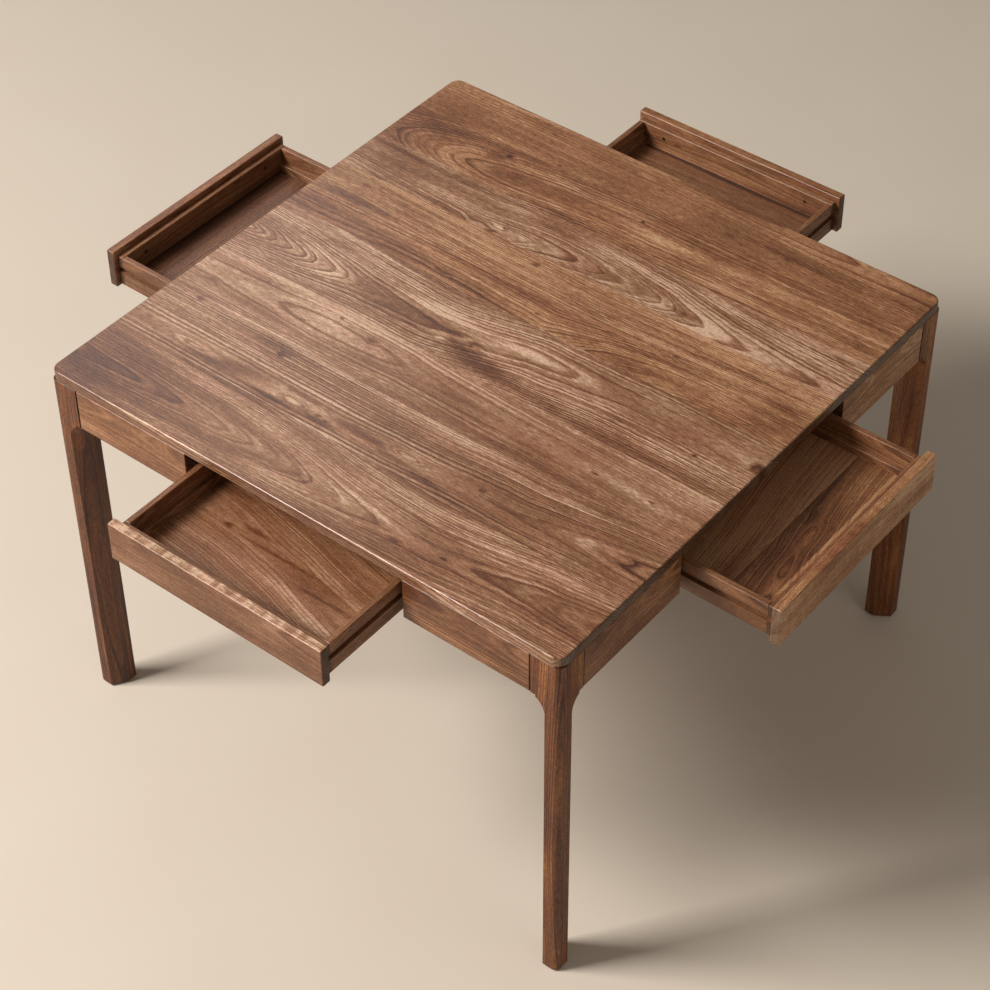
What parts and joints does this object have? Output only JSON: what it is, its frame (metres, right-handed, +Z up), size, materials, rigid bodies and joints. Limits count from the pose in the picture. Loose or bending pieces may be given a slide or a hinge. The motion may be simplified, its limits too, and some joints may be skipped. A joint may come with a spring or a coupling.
{
  "type": "mahjong table with drawers",
  "caption": "Square solid-wood game table on haunched corner legs, with a handle-less tile drawer sliding out from the middle of each side.",
  "frame": {"origin": "on the floor at the centre of the square table", "axes": "+Z up; the front drawer faces -Y and the top's boards run along X; +X is to the right"},
  "size_m": [1.407, 1.407, 0.75],
  "materials": {
    "oiled_walnut_top": "hard-wax oiled, satin",
    "oiled_walnut_leg": "hard-wax oiled, satin",
    "oiled_walnut_apron": "hard-wax oiled, satin",
    "oiled_walnut_face": "hard-wax oiled, satin",
    "oiled_walnut_box": "hard-wax oiled, satin",
    "oiled_walnut_bottom": "hard-wax oiled, satin",
    "plain_walnut_frame": "planed, thin oil",
    "zinc_plated_steel": "zinc plated",
    "bronzed_steel": "bronzed, matt",
    "wool_felt": "pressed felt"
  },
  "bodies": {
    "table": {"top_board_1": "oiled_walnut_top", "top_board_2": "oiled_walnut_top", "top_board_3": "oiled_walnut_top", "top_board_4": "oiled_walnut_top", "top_board_5": "oiled_walnut_top", "top_board_6": "oiled_walnut_top", "top_board_7": "oiled_walnut_top", "top_board_8": "oiled_walnut_top", "top_board_9": "oiled_walnut_top", "leg_front_left": "oiled_walnut_leg", "leg_front_right": "oiled_walnut_leg", "leg_rear_right": "oiled_walnut_leg", "leg_rear_left": "oiled_walnut_leg", "front_apron_left": "oiled_walnut_apron", "front_apron_right": "oiled_walnut_apron", "right_apron_left": "oiled_walnut_apron", "right_apron_right": "oiled_walnut_apron", "rear_apron_left": "oiled_walnut_apron", "rear_apron_right": "oiled_walnut_apron", "left_apron_left": "oiled_walnut_apron", "left_apron_right": "oiled_walnut_apron", "front_rail": "plain_walnut_frame", "right_rail": "plain_walnut_frame", "rear_rail": "plain_walnut_frame", "left_rail": "plain_walnut_frame", "drawer_runners": "plain_walnut_frame", "wood_screws": "zinc_plated_steel", "foot_pads": "wool_felt"},
    "front_drawer": {"front_drawer_face": "oiled_walnut_face", "front_drawer_inner_front": "oiled_walnut_box", "front_drawer_left_side": "oiled_walnut_box", "front_drawer_right_side": "oiled_walnut_box", "front_drawer_back": "oiled_walnut_box", "front_drawer_bottom": "oiled_walnut_bottom", "front_drawer_slips": "oiled_walnut_box", "front_drawer_face_screws": "bronzed_steel"},
    "right_drawer": {"right_drawer_face": "oiled_walnut_face", "right_drawer_inner_front": "oiled_walnut_box", "right_drawer_left_side": "oiled_walnut_box", "right_drawer_right_side": "oiled_walnut_box", "right_drawer_back": "oiled_walnut_box", "right_drawer_bottom": "oiled_walnut_bottom", "right_drawer_slips": "oiled_walnut_box", "right_drawer_face_screws": "bronzed_steel"},
    "rear_drawer": {"rear_drawer_face": "oiled_walnut_face", "rear_drawer_inner_front": "oiled_walnut_box", "rear_drawer_left_side": "oiled_walnut_box", "rear_drawer_right_side": "oiled_walnut_box", "rear_drawer_back": "oiled_walnut_box", "rear_drawer_bottom": "oiled_walnut_bottom", "rear_drawer_slips": "oiled_walnut_box", "rear_drawer_face_screws": "bronzed_steel"},
    "left_drawer": {"left_drawer_face": "oiled_walnut_face", "left_drawer_inner_front": "oiled_walnut_box", "left_drawer_left_side": "oiled_walnut_box", "left_drawer_right_side": "oiled_walnut_box", "left_drawer_back": "oiled_walnut_box", "left_drawer_bottom": "oiled_walnut_bottom", "left_drawer_slips": "oiled_walnut_box", "left_drawer_face_screws": "bronzed_steel"}
  },
  "joints": [
    {"name": "front_drawer_slide", "type": "slide", "parent": "table", "child": "front_drawer", "axis": [0, -1, 0], "range_m": [-0.1785, 0.0315]},
    {"name": "right_drawer_slide", "type": "slide", "parent": "table", "child": "right_drawer", "axis": [1, 0, 0], "range_m": [-0.1785, 0.0315]},
    {"name": "rear_drawer_slide", "type": "slide", "parent": "table", "child": "rear_drawer", "axis": [0, 1, 0], "range_m": [-0.1785, 0.0315]},
    {"name": "left_drawer_slide", "type": "slide", "parent": "table", "child": "left_drawer", "axis": [-1, 0, 0], "range_m": [-0.1785, 0.0315]}
  ]
}
